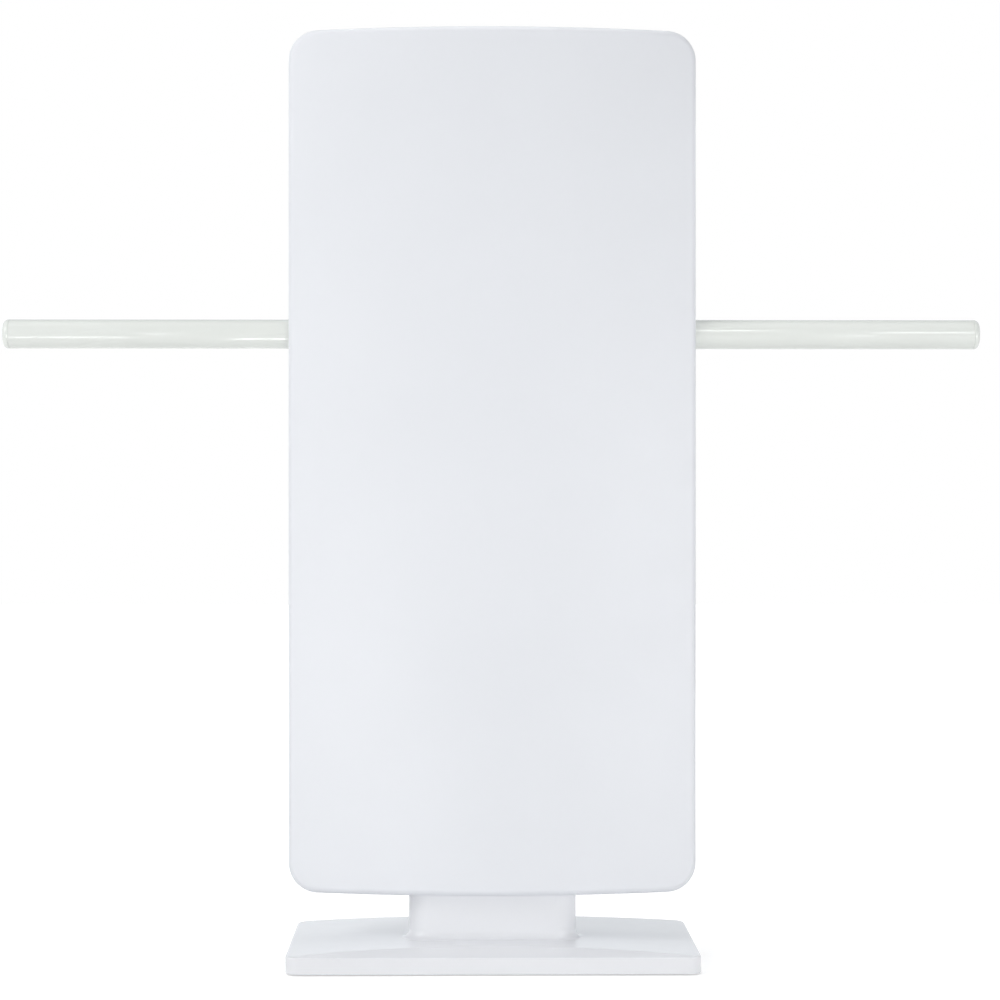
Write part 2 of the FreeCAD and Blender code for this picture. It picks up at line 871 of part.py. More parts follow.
add_pad(board, "XZ", board_front, board_back, board_outline)
board_hole = size("small_screw_radius") + slip
add_pocket(board, "XZ", board_front - sink, board_back + sink, circles(feed_spots, board_hole))
finish_node(board, "amplifier_board")

can = new_body("can_box")
can_half = size("can_width") / 2.0
can_low = array_up - size("can_height") / 2.0
can_high = array_up + size("can_height") / 2.0
can_front = board_front - size("can_depth")
tin = size("can_sheet")
add_pad(can, "XZ", can_front, board_front, lambda s: draw_box(s, -can_half, can_half, can_low, can_high))


def can_space(sketch):
    draw_box(sketch, tin - can_half, can_half - tin, can_low + tin, can_high - tin)


add_pocket(can, "XZ", can_front + tin, board_front + sink, can_space)
finish_node(can, "shield_can")

core = new_body("core_block")
core_up = array_up + size("core_raise")
core_half = size("core_width") / 2.0
core_tall = size("core_height") / 2.0
core_front = board_front - size("core_depth")


def core_outline(sketch):
    draw_box(sketch, -core_half, core_half, core_up - core_tall, core_up + core_tall)


add_pad(core, "XZ", core_front, board_front, core_outline)
core_middle = board_front - size("core_depth") / 2.0
core_holes = [(-size("core_pitch") / 2.0, core_middle), (size("core_pitch") / 2.0, core_middle)]
core_low = core_up - core_tall - sink
core_high = core_up + core_tall + sink
add_pocket(core, "XY", core_low, core_high, circles(core_holes, size("core_hole")))
finish_node(core, "balun_core")

chip = new_body("chip_block")
chip_up = array_up - size("chip_drop")
chip_half = size("chip_width") / 2.0
chip_tall = size("chip_height") / 2.0
chip_front = board_front - size("chip_depth")


def chip_outline(sketch):
    draw_box(sketch, -chip_half, chip_half, chip_up - chip_tall, chip_up + chip_tall)


add_pad(chip, "XZ", chip_front, board_front, chip_outline)
finish_node(chip, "amplifier_chip")

# Coax outlet: the jack hangs through the top of the bay and points down.
shelf_top = bay_high + bay_wall
flange_low = bay_high - size("jack_flange")
jack_low = flange_low - size("jack_free")
washer_top = shelf_top + size("washer_thick")
nut_top = washer_top + size("nut_thick")
tail_top = nut_top + size("jack_tail")
jack = new_body("jack_turning")
add_pad(jack, "XY", jack_low, flange_low, circles(jack_spot, size("jack_radius")))
add_pad(jack, "XY", flange_low, bay_high, lambda s: draw_hexagon(s, lift(0.0), jack_back, size("jack_hex")))
add_pad(jack, "XY", bay_high, tail_top, circles(jack_spot, size("jack_radius")))
add_pocket(jack, "XY", jack_low - sink, tail_top + sink, circles(jack_spot, size("jack_bore")))
finish_node(jack, "coax_jack")

insulator = new_body("insulator_turning")
insulator_radius = size("jack_bore") - thread_gap
contact_radius = size("contact_radius")
add_pad(insulator, "XY", jack_low + size("core_inset"), tail_top, circles(jack_spot, insulator_radius))
contact_hole = contact_radius + thread_gap
add_pocket(insulator, "XY", jack_low - sink, tail_top + sink, circles(jack_spot, contact_hole))
finish_node(insulator, "jack_insulator")

contact = new_body("contact_turning")
contact_low = jack_low + size("core_inset")
add_pad(contact, "XY", contact_low, tail_top, circles(jack_spot, contact_radius))
contact_end = contact_low + size("contact_depth")
add_pocket(contact, "XY", contact_low - sink, contact_end, circles(jack_spot, size("contact_bore")))
finish_node(contact, "jack_contact")

washer = new_body("washer_ring")
ring_bore = size("jack_radius") + seat_gap
add_pad(washer, "XY", shelf_top, washer_top, circles(jack_spot, size("washer_radius")))
add_pocket(washer, "XY", shelf_top - sink, washer_top + sink, circles(jack_spot, ring_bore))
finish_node(washer, "jack_washer")

nut = new_body("nut_ring")
add_pad(nut, "XY", washer_top, nut_top, lambda s: draw_hexagon(s, lift(0.0), jack_back, size("jack_hex")))
nut_bore = size("jack_radius") + thread_gap
add_pocket(nut, "XY", washer_top - sink, nut_top + sink, circles(jack_spot, nut_bore))
finish_node(nut, "jack_nut")

# The coax lead leaves the jack, bends forward and lies on the board.
lead_front = board_front - size("coax_radius") - seat_gap
coax = new_body("coax_wire")
bend = size("coax_bend")
shift = jack_back - lead_front
bend_up = (bend * shift - shift * shift / 4.0).root()
bend_low = board_low - bend_up * 2.0 - size("coax_run")
middle_back = jack_back - shift / 2.0
coax_path = [
    (jack_back, tail_top),
    (jack_back, bend_low, bend, True),
    (middle_back, bend_low + bend_up, bend, False),
    (lead_front, bend_low + bend_up * 2.0),
    (lead_front, can_low - seat_gap),
]
add_pipe(coax, "YZ", 0.0, coax_path, "XY", tail_top, lift(0.0), jack_back, size("coax_radius"))
finish_node(coax, "coax_lead")


# Rods: every piece of one side is turned about the rod's own axis, then placed.
def rod_piece(name, side, corners, label):
    body = new_body(name)
    add_revolution(body, corners)
    body.Placement = FreeCAD.Placement(
        FreeCAD.Vector(side * half_panel.value, 0, rod_up.value),
        FreeCAD.Rotation(FreeCAD.Vector(0, 0, 1), 0.0 if side > 0 else 180.0),
    )
    body.setExpression(".Placement.Base.x", (half_panel * side).text)
    body.setExpression(".Placement.Base.z", rod_up.text)
    doc.recompute()
    finish_node(body, label)


rod_length = size("rod_length")
rod_radius = size("rod_radius")
rod_bore = rod_radius - size("rod_wall")
sheath_end = rod_length - size("cap_length")
spigot_end = sheath_end - size("cap_spigot")
seat_end = spigot_end + size("cap_seat")
snug = rod_bore - seat_gap
element_radius = size("element_radius")
element_hole = element_radius + thread_gap
element_bore = size("stud_radius") + thread_gap
cap_round = size("cap_round")
cap_edge = size("cap_edge")
element_start = size("element_set_in")
element_end = seat_end - slip
stud_low = -size("stud_in_socket")
stud_high = size("stud_in_rod")
socket_face = -wall
socket_back = socket_face - size("socket_flange")
socket_low = stud_low - size("socket_end") - slip
socket_bore = size("stud_radius") + thread_gap

for side, word in ((-1.0, "left"), (1.0, "right")):
    rod_piece(f"{word}_sheath_tube", side, [
        (0.0, rod_bore),
        (sheath_end, rod_bore),
        (sheath_end, rod_radius - cap_edge),
        (sheath_end - cap_edge, rod_radius),
        (0.0, rod_radius),
    ], f"{word}_rod_sheath")
    rod_piece(f"{word}_cap_turning", side, [
        (spigot_end, element_hole),
        (seat_end, element_hole),
        (seat_end, 0.0),
        (rod_length, 0.0),
        (rod_length, rod_radius - cap_round, cap_round, True),
        (rod_length - cap_round, rod_radius),
        (sheath_end + cap_edge, rod_radius),
        (sheath_end, rod_radius - cap_edge),
        (sheath_end, snug),
        (spigot_end, snug),
    ], f"{word}_rod_cap")
    rod_piece(f"{word}_plug_ring", side, [
        (0.0, element_hole),
        (size("plug_length"), element_hole),
        (size("plug_length"), snug),
        (0.0, snug),
    ], f"{word}_rod_plug")
    rod_piece(f"{word}_element_tube", side, [
        (element_start, element_bore),
        (element_end, element_bore),
        (element_end, element_radius),
        (element_start, element_radius),
    ], f"{word}_rod_element")
    rod_piece(f"{word}_stud_bar", side, [
        (stud_low, 0.0),
        (stud_high, 0.0),
        (stud_high, size("stud_radius")),
        (stud_low, size("stud_radius")),
    ], f"{word}_rod_stud")
    rod_piece(f"{word}_socket_turning", side, [
        (socket_low, 0.0),
        (stud_low - slip, 0.0),
        (stud_low - slip, socket_bore),
        (-slip, socket_bore),
        (-slip, size("socket_radius")),
        (socket_face, size("socket_radius")),
        (socket_face, size("socket_flange_radius")),
        (socket_back, size("socket_flange_radius")),
        (socket_back, size("socket_radius")),
        (socket_low, size("socket_radius")),
    ], f"{word}_rod_socket")

# VHF leads: from the back of each socket along the panel and down to the board.
vhf_place = loop_front - size("lead_radius") - slip
lead_start = half_panel + socket_low
turn_start = size("lead_place") + size("lead_bend")
lead_low = can_high + seat_gap
for side, word in ((-1.0, "left"), (1.0, "right")):
    wire = new_body(f"{word}_vhf_wire")
    wire_path = [
        (lead_start * side, rod_up),
        (turn_start * side, rod_up, size("lead_bend"), side > 0),
        (size("lead_place") * side, rod_up - size("lead_bend")),
        (size("lead_place") * side, lead_low),
    ]
    add_pipe(
        wire, "XZ", vhf_place, wire_path,
        "YZ", lead_start * side, vhf_place, rod_up, size("lead_radius"),
    )
    finish_node(wire, f"{word}_vhf_lead")

# Stand: crowned base with a sloped front and the neck, as one hollow moulding.
half_base = half_panel - size("base_inset")
half_deep = size("base_depth") / 2.0
crown = size("base_crown")
crown_radius = (half_base * half_base + crown * crown) / (crown * 2.0)


def crowned_profile(inset, low):
    def draw(sketch):
        half = half_base - inset
        lower = crown_radius - inset
        middle = base_top - crown_radius
        rim = middle + (lower * lower - half * half).root()
        corners = [
            (-half, low),
            (half, low),
            (half, rim, lower, True),
            (-half, rim),
        ]
        draw_path(sketch, corners)
    return draw


stand = new_body("stand_moulding")
add_pad(stand, "XZ", -half_deep, half_deep, crowned_profile(lift(0.0), base_low))


def upright(edge):
    ends = edge.Vertexes
    if len(ends) != 2:
        return False
    return abs(ends[0].X - ends[1].X) < 1e-6 and abs(ends[0].Y - ends[1].Y) < 1e-6


corner_names = [f"Edge{n}" for n, edge in enumerate(stand.Shape.Edges, 1) if upright(edge)]
add_fillet(stand, corner_names, size("base_corner"))
foot_rim = border_edges(stand.Shape, lambda face: facing(face).z < -0.8)
add_fillet(stand, foot_rim, size("base_foot_round"))


def front_slope(sketch):
    rise = size("base_crown") + size("bevel_dip")
    steep = rise / size("bevel_depth")
    low = base_rim - size("bevel_dip")
    corners = [
        (-half_deep - over, low - steep),
        (-half_deep + size("bevel_depth") + over, base_top + steep),
        (-half_deep - over, base_top + steep),
    ]
    draw_path(sketch, corners)


add_pocket(stand, "YZ", -half_base - over, half_base + over, front_slope)
crease = shared_edges(stand.Shape, lambda face: facing(face).z > 0.8)
add_fillet(stand, crease, size("crease_round"))
top_rim = border_edges(stand.Shape, lambda face: facing(face).z > 0.8)
add_fillet(stand, top_rim, size("base_round"))

neck_half = size("neck_width") / 2.0
neck_front = neck_middle - size("neck_depth") / 2.0
neck_back = neck_middle + size("neck_depth") / 2.0


def neck_outline(inset):
    def draw(sketch):
        draw_round_box(
            sketch, inset - neck_half, neck_half - inset,
            neck_front + inset, neck_back - inset, size("neck_corner") - inset,
        )
    return draw


add_pad(stand, "XY", base_rim - over, panel_low, neck_outline(lift(0.0)))


def at_neck_foot(edge):
    spot = edge.CenterOfMass
    play = sink.value
    across = abs(spot.x) < neck_half.value + play
    deep = neck_front.value - play < spot.y < neck_back.value + play
    up = base_rim.value < spot.z < base_top.value + play
    return across and deep and up


foot_names = [f"Edge{n}" for n, edge in enumerate(stand.Shape.Edges, 1) if at_neck_foot(edge)]
add_fillet(stand, foot_names, size("neck_fillet"))
add_pad(stand, "XY", panel_low - over, tongue_high, neck_outline(size("tongue_step")))
base_wall = size("base_wall")
hollow_half = half_deep - base_wall
slope_end = size("bevel_depth") - half_deep
add_pocket(stand, "XZ", slope_end, hollow_half, crowned_profile(base_wall, base_low - over))
low_ceiling = base_rim - size("bevel_dip") - base_wall


def front_hollow_box(sketch):
    half = half_base - base_wall
    draw_box(sketch, -half, half, base_low - over, low_ceiling)


add_pocket(stand, "XZ", -hollow_half, slope_end + sink, front_hollow_box)
tongue_wall = size("tongue_wall")
tongue_inset = size("tongue_step") + tongue_wall
add_pocket(stand, "XY", base_low, tongue_high - tongue_wall, neck_outline(tongue_inset))
boss_back = tongue_back - tongue_wall + sink
boss_front = tongue_back - size("tongue_boss_length")
add_pad(stand, "XZ", boss_front, boss_back, circles(neck_spots, neck_boss))
neck_tip = screw_seat - size("neck_screw_length")
add_pocket(stand, "XZ", neck_tip - sink, tongue_back + sink, circles(neck_spots, pilot_radius))

bottom_top = base_low + size("bottom_thick")
screw_deep = size("bottom_screw_deep")
bottom_across = size("bottom_screw_across")
bottom_spots = [
    (-bottom_across, -screw_deep),
    (lift(0.0), -screw_deep),
    (bottom_across, -screw_deep),
    (-bottom_across, screw_deep),
    (lift(0.0), screw_deep),
    (bottom_across, screw_deep),
]
ceiling_radius = crown_radius - base_wall
ceiling_rise = (ceiling_radius * ceiling_radius - bottom_across * bottom_across).root()
side_ceiling = base_top - crown_radius + ceiling_rise
middle_ceiling = base_top - base_wall
side_spots = [bottom_spots[3], bottom_spots[5]]
add_pad(stand, "XY", bottom_top, low_ceiling + sink, circles(bottom_spots[:3], post_radius))
add_pad(stand, "XY", bottom_top, side_ceiling + sink, circles(side_spots, post_radius))
add_pad(stand, "XY", bottom_top, middle_ceiling + sink, circles([bottom_spots[4]], post_radius))
bottom_seat = base_low + size("bottom_head_sink")
bottom_tip = bottom_seat + size("bottom_screw_length")
add_pocket(stand, "XY", bottom_top - sink, bottom_tip + sink, circles(bottom_spots, small_pilot))
finish_node(stand, "stand_body")

# Bottom plate, ballast, feet and their screws.
plate = new_body("bottom_blank")
plate_half = half_base - base_wall - slip
plate_deep = half_deep - base_wall - slip
bottom_head_hole = size("small_head_radius") + slip


def plate_outline(sketch):
    draw_box(sketch, -plate_half, plate_half, -plate_deep, plate_deep)


add_pad(plate, "XY", base_low, bottom_top, plate_outline)
add_pocket(plate, "XY", base_low - sink, bottom_seat, circles(bottom_spots, bottom_head_hole))
add_pocket(plate, "XY", bottom_seat - sink, bottom_top + sink, circles(bottom_spots, board_hole))
foot_across = half_base - size("foot_inset_across")
foot_deep = half_deep - size("foot_inset_deep")
foot_spots = {
    "foot_front_left": (-foot_across, -foot_deep),
    "foot_front_right": (foot_across, -foot_deep),
    "foot_rear_left": (-foot_across, foot_deep),
    "foot_rear_right": (foot_across, foot_deep),
}
foot_top = base_low + size("foot_sink")
foot_hole = size("foot_radius") + seat_gap
add_pocket(plate, "XY", base_low - sink, foot_top, circles(list(foot_spots.values()), foot_hole))
finish_node(plate, "stand_bottom")

for label, spot in foot_spots.items():
    foot = new_body(f"{label}_pad")
    add_pad(foot, "XY", 0.0, foot_top, circles([spot], size("foot_radius")))
    finish_node(foot, label)

ballast = new_body("ballast_blank")
ballast_half = size("ballast_width") / 2.0
ballast_deep = size("ballast_depth") / 2.0
ballast_top = bottom_top + size("ballast_thick")


def ballast_outline(sketch):
    draw_box(sketch, -ballast_half, ballast_half, -ballast_deep, ballast_deep)


add_pad(ballast, "XY", bottom_top, ballast_top, ballast_outline)
finish_node(ballast, "ballast_plate")

bottom_screws = new_body("bottom_screw_group", many=True)
head_low = bottom_seat - size("bottom_head_height")
add_pad(bottom_screws, "XY", head_low, bottom_seat, circles(bottom_spots, size("small_head_radius")))
add_pad(bottom_screws, "XY", bottom_seat, bottom_tip, circles(bottom_spots, size("small_screw_radius")))
finish_node(bottom_screws, "bottom_screws")

neck_screws = new_body("neck_screw_group", many=True)
add_pad(neck_screws, "XZ", neck_tip, screw_seat, circles(neck_spots, size("cover_screw_radius")))
add_pad(neck_screws, "XZ", screw_seat, head_top, circles(neck_spots, size("cover_head_radius")))
finish_node(neck_screws, "neck_screws")

doc.recompute()
for item in doc.Objects:
    if "Invalid" in item.State or "Error" in item.State:
        raise RuntimeError(f"{item.Name} is {item.State}")
for piece in nodes:
    if piece.Shape.isNull() or not piece.Shape.isValid():
        raise RuntimeError(f"{piece.Label} has no valid shape")
for piece in nodes:
    piece.Shape.exportStep(f"parts/{piece.Label}.step")
    print(piece.Label, len(piece.Shape.Solids), round(piece.Shape.Volume, 1))
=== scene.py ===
import json
import math

import bmesh
import bpy
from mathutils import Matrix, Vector


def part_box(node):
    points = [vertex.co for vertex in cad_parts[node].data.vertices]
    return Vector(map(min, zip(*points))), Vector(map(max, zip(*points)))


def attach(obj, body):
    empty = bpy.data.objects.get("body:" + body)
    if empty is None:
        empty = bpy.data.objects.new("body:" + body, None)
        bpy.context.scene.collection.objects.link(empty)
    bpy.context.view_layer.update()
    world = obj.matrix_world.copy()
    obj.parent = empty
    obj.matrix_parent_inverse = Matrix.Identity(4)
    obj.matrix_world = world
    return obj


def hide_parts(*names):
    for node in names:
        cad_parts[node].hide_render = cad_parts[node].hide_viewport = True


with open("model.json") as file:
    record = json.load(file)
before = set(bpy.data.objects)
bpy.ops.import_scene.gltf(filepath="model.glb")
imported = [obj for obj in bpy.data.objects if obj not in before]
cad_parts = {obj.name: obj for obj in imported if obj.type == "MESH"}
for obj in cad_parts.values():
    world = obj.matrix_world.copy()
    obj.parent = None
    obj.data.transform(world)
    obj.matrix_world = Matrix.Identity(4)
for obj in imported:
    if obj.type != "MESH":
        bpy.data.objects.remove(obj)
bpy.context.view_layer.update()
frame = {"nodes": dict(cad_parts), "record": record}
scene = bpy.context.scene
MM = 0.001


# Materials

class Finish:
    """One procedural material on a piece's own coordinates, in metres."""

    def __init__(self, name):
        self.material = bpy.data.materials.new(name)
        self.material.use_nodes = True
        self.tree = self.material.node_tree
        self.tree.nodes.clear()
        self.place = self.add("ShaderNodeTexCoord").outputs["Object"]
        self.shader = self.add("ShaderNodeBsdfPrincipled")
        output = self.add("ShaderNodeOutputMaterial")
        self.link(self.shader.outputs["BSDF"], output.inputs["Surface"])

    def add(self, kind, **values):
        """A node of that kind, with its sockets set by name."""
        node = self.tree.nodes.new(kind)
        for name, value in values.items():
            node.inputs[name.replace("_", " ")].default_value = value
        return node

    def link(self, source, target):
        self.tree.links.new(source, target)

    def set(self, **values):
        """Plain values on the shader's own sockets."""
        for name, value in values.items():
            self.shader.inputs[name.replace("_", " ")].default_value = value

    def stretched(self, scale):
        """The piece's coordinates, drawn out along the axes with a small scale."""
        mapping = self.add("ShaderNodeMapping", Scale=scale)
        self.link(self.place, mapping.inputs["Vector"])
        return mapping.outputs["Vector"]

    def noise(self, scale, detail=2.0, place=None):
        node = self.add("ShaderNodeTexNoise", Scale=scale, Detail=detail)
        self.link(place or self.place, node.inputs["Vector"])
        return node.outputs["Fac"]

    def colours(self, factor, first, second, start=0.35, stop=0.65):
        """The shader's colour runs from the first to the second as the factor rises."""
        ramp = self.add("ShaderNodeValToRGB")
        for element, place, colour in zip(ramp.color_ramp.elements, (start, stop), (first, second)):
            element.position = place
            element.color = (*colour, 1.0)
        self.link(factor, ramp.inputs["Fac"])
        self.link(ramp.outputs["Color"], self.shader.inputs["Base Color"])

    def roughness(self, factor, low, high, start=0.35, stop=0.65):
        """The shader's roughness runs from low to high as the factor rises."""
        run = self.add("ShaderNodeMapRange", From_Min=start, From_Max=stop, To_Min=low, To_Max=high)
        self.link(factor, run.inputs["Value"])
        self.link(run.outputs["Result"], self.shader.inputs["Roughness"])

    def relief(self, height, depth):
        """The surface rises and falls by a depth in millimetres with the height given."""
        bump = self.add("ShaderNodeBump", Strength=1.0, Distance=depth * MM)
        self.link(height, bump.inputs["Height"])
        self.link(bump.outputs["Normal"], self.shader.inputs["Normal"])


def moulded(name, pale, deep, sheen, grain, depth):
    """A moulded, pressed or painted piece: a slow drift of tone, an even sheen and a fine grain."""
    finish = Finish(name)
    finish.colours(finish.noise(scale=7.0), deep, pale)
    finish.roughness(finish.noise(scale=60.0, detail=4.0), sheen - 0.03, sheen + 0.03)
    finish.relief(finish.noise(scale=grain, detail=3.0), depth)
    return finish.material


def drawn_tube(name, pale, deep, sheen):
    """Extruded plastic tube along X: faint lines drawn along its length."""
    finish = Finish(name)
    lines = finish.noise(scale=420.0, place=finish.stretched((0.012, 1.0, 1.0)))
    finish.colours(finish.noise(scale=11.0), deep, pale)
    finish.roughness(lines, sheen - 0.02, sheen + 0.03)
    finish.relief(lines, depth=0.002)
    return finish.material


def plated(name, pale, deep, sheen, drawn):
    """Bright metal: fine scratches, drawn out along the axes with a small scale."""
    finish = Finish(name)
    scratch = finish.noise(scale=900.0, detail=4.0, place=finish.stretched(drawn))
    finish.set(Metallic=1.0)
    finish.colours(finish.noise(scale=130.0, detail=3.0), deep, pale)
    finish.roughness(scratch, sheen - 0.05, sheen + 0.08)
    finish.relief(scratch, depth=0.004)
    return finish.material


def board_mask(name):
    """Green solder mask over copper runs on a fine square pitch."""
    finish = Finish(name)
    runs = finish.add("ShaderNodeTexBrick", Scale=170.0)
    runs.inputs["Color1"].default_value = (0.010, 0.075, 0.028, 1.0)
    runs.inputs["Color2"].default_value = (0.013, 0.095, 0.036, 1.0)
    runs.inputs["Mortar"].default_value = (0.022, 0.150, 0.060, 1.0)
    turned = finish.add("ShaderNodeMapping", Rotation=(math.pi / 2, 0.0, 0.0))
    finish.link(finish.place, turned.inputs["Vector"])
    finish.link(turned.outputs["Vector"], runs.inputs["Vector"])
    finish.link(runs.outputs["Color"], finish.shader.inputs["Base Color"])
    finish.roughness(finish.noise(scale=300.0), 0.28, 0.40)
    finish.relief(runs.outputs["Fac"], depth=0.02)
    return finish.material


# Slot: pale tone, deep tone, sheen, fineness of the grain, relief in mm
MOULDED = {
    "housing_white": ((0.800, 0.815, 0.850), (0.786, 0.801, 0.836), 0.50, 900.0, 0.002),
    "stand_white": ((0.833, 0.841, 0.866), (0.818, 0.826, 0.851), 0.11, 900.0, 0.002),
    "bottom_white": ((0.64, 0.65, 0.66), (0.60, 0.61, 0.62), 0.55, 1500.0, 0.030),
    "core_ferrite": ((0.030, 0.030, 0.032), (0.018, 0.018, 0.020), 0.60, 1800.0, 0.020),
    "chip_black": ((0.016, 0.016, 0.018), (0.010, 0.010, 0.012), 0.50, 2600.0, 0.010),
    "lead_jacket": ((0.68, 0.68, 0.65), (0.62, 0.62, 0.60), 0.45, 1200.0, 0.008),
    "jack_plastic": ((0.82, 0.82, 0.79), (0.76, 0.76, 0.73), 0.42, 1500.0, 0.006),
    "ballast_steel": ((0.035, 0.035, 0.037), (0.022, 0.022, 0.024), 0.48, 700.0, 0.030),
    "foot_rubber": ((0.018, 0.018, 0.019), (0.011, 0.011, 0.012), 0.82, 1700.0, 0.040),
}
# The rear cover shares the housing's slot, with a more satin mould
REAR_SATIN = ((0.790, 0.805, 0.838), (0.770, 0.785, 0.818), 0.42, 1300.0, 0.020)

# Slot: pale tone, deep tone, sheen, scale of the scratches along X, Y and Z
EVEN = (1.0, 1.0, 1.0)
PLATED = {
    "screw_steel": ((0.62, 0.62, 0.63), (0.48, 0.49, 0.50), 0.28, EVEN),
    "insert_brass": ((0.72, 0.52, 0.22), (0.60, 0.42, 0.16), 0.30, EVEN),
    "loop_aluminium": ((0.80, 0.81, 0.82), (0.72, 0.73, 0.74), 0.34, (0.03, 1.0, 1.0)),
    "can_tinplate": ((0.72, 0.72, 0.70), (0.62, 0.62, 0.60), 0.32, (1.0, 1.0, 0.05)),
    "jack_nickel": ((0.70, 0.68, 0.64), (0.60, 0.58, 0.54), 0.16, EVEN),
}
ROD_TUBE = ((0.795, 0.820, 0.785), (0.780, 0.805, 0.770), 0.07)

finishes = {slot: moulded(slot, *look) for slot, look in MOULDED.items()}
finishes.update((slot, plated(slot, *look)) for slot, look in PLATED.items())
finishes["rod_white"] = drawn_tube("rod_white", *ROD_TUBE)
finishes["board_green"] = board_mask("board_green")
rear_finish = moulded("housing_white_satin", *REAR_SATIN)

slot_of = {part["node"]: part["material_slot"] for part in frame["record"]["subparts"]}
for name, node in frame["nodes"].items():
    node.data.materials.clear()
    node.data.materials.append(rear_finish if name == "rear_cover" else finishes[slot_of[name]])


# Geometry node trees for what repeats

class Tree:
    """A geometry node tree with named inputs for its sizes."""

    def __init__(self, name, sizes):
        self.group = bpy.data.node_groups.new(name, "GeometryNodeTree")
        face = self.group.interface
        face.new_socket("Places", in_out="INPUT", socket_type="NodeSocketGeometry")
        for label in sizes:
            face.new_socket(label, in_out="INPUT", socket_type="NodeSocketFloat")
        face.new_socket("Turn", in_out="INPUT", socket_type="NodeSocketVector")
        face.new_socket("Material", in_out="INPUT", socket_type="NodeSocketMaterial")
        face.new_socket("Pieces", in_out="OUTPUT", socket_type="NodeSocketGeometry")
        self.sizes = self.group.nodes.new("NodeGroupInput").outputs
        self.result = self.group.nodes.new("NodeGroupOutput").inputs["Pieces"]

    def add(self, kind, **values):
        """A node of that kind. A value is a number, a socket that feeds it, or a list of sockets."""
        node = self.group.nodes.new(kind)
        for name, value in values.items():
            self.feed(node.inputs[name.replace("_", " ")], value)
        return node

    def feed(self, target, value):
        if isinstance(value, list):
            for source in value:
                self.group.links.new(source, target)
        elif isinstance(value, bpy.types.NodeSocket):
            self.group.links.new(value, target)
        else:
            target.default_value = value

    def sum(self, operation, first, second):
        """The result of one step of arithmetic."""
        node = self.group.nodes.new("ShaderNodeMath")
        node.operation = operation
        self.feed(node.inputs[0], first)
        self.feed(node.inputs[1], second)
        return node.outputs[0]

    def times(self, length, share):
        return self.sum("MULTIPLY", length, share)

    def along(self, height):
        """A vector that far up the piece's own axis."""
        return self.add("ShaderNodeCombineXYZ", Z=height).outputs["Vector"]

    def moved(self, geometry, height):
        node = self.add("GeometryNodeTransform", Geometry=geometry, Translation=self.along(height))
        return node.outputs["Geometry"]

    def disc(self, radius, depth, low, sides=48):
        """A cylinder that stands on the height low."""
        drum = self.add("GeometryNodeMeshCylinder", Vertices=sides, Radius=radius, Depth=depth)
        return self.moved(drum.outputs["Mesh"], self.sum("ADD", low, self.times(depth, 0.5)))

    def ball(self, radius, height, segments):
        """A sphere whose centre lies at that height."""
        node = self.add("GeometryNodeMeshUVSphere", Segments=segments, Rings=64, Radius=radius)
        return self.moved(node.outputs["Mesh"], height)

    def cut(self, operation, body, tools):
        """The body less the tools, or what the body and the tools share."""
        node = self.add("GeometryNodeMeshBoolean")
        node.operation = operation
        node.solver = "EXACT"
        if operation == "DIFFERENCE":
            self.feed(node.inputs["Mesh 1"], body)
            self.feed(node.inputs["Mesh 2"], tools)
        else:
            self.feed(node.inputs["Mesh 2"], [body] + tools)
        return node.outputs["Mesh"]

    def sleeve(self, inner, outer, depth, low, soft):
        """A turned sleeve with softened edges that stands on the height low."""
        middle = self.times(self.sum("ADD", inner, outer), 0.5)
        wall = self.sum("SUBTRACT", outer, inner)
        ring = self.add("GeometryNodeCurvePrimitiveCircle", Resolution=72, Radius=middle)
        box = self.add("GeometryNodeCurvePrimitiveQuadrilateral", Width=wall, Height=depth)
        soften = self.add("GeometryNodeFilletCurve", Curve=box.outputs["Curve"], Radius=soft)
        soften.mode = "POLY"
        soften.inputs["Count"].default_value = 3
        swept = self.add("GeometryNodeCurveToMesh", Curve=ring.outputs["Curve"])
        self.feed(swept.inputs["Profile Curve"], soften.outputs["Curve"])
        return self.moved(swept.outputs["Mesh"], self.sum("ADD", low, self.times(depth, 0.5)))

    def thread(self, radius, ridge, pitch, length, low):
        """A helical ridge wound at that radius, from the height low."""
        path = self.add(
            "GeometryNodeCurveSpiral", Resolution=40, Rotations=self.sum("DIVIDE", length, pitch),
            Start_Radius=radius, End_Radius=radius, Height=length,
        )
        section = self.add("GeometryNodeCurvePrimitiveCircle", Resolution=6, Radius=ridge)
        wound = self.add("GeometryNodeCurveToMesh", Curve=path.outputs["Curve"], Fill_Caps=True)
        self.feed(wound.inputs["Profile Curve"], section.outputs["Curve"])
        return self.moved(wound.outputs["Mesh"], low)

    def finish(self, parts, seed):
        """Put the parts at every place, each turned by chance about its own axis, and make them real."""
        one = self.add("GeometryNodeJoinGeometry", Geometry=parts).outputs["Geometry"]
        turn = self.add("FunctionNodeEulerToRotation", Euler=self.sizes["Turn"])
        placed = self.add("GeometryNodeInstanceOnPoints", Points=self.sizes["Places"], Instance=one)
        self.feed(placed.inputs["Rotation"], turn.outputs["Rotation"])
        chance = self.add("FunctionNodeRandomValue", Seed=seed)
        chance.inputs["Max"].default_value = math.pi
        spin = self.add("FunctionNodeEulerToRotation", Euler=self.along(chance.outputs["Value"]))
        spun = self.add("GeometryNodeRotateInstances", Instances=placed.outputs["Instances"])
        self.feed(spun.inputs["Rotation"], spin.outputs["Rotation"])
        real = self.add("GeometryNodeRealizeInstances", Geometry=spun.outputs["Instances"])
        dressed = self.add("GeometryNodeSetMaterial", Geometry=real.outputs["Geometry"])
        self.feed(dressed.inputs["Material"], self.sizes["Material"])
        self.group.links.new(dressed.outputs["Geometry"], self.result)


# Cross recess: length and width of a slot by the head's radius, its middle by the head's height
SLOT_LONG, SLOT_WIDE, SLOT_UP = 1.16, 0.24, 0.94
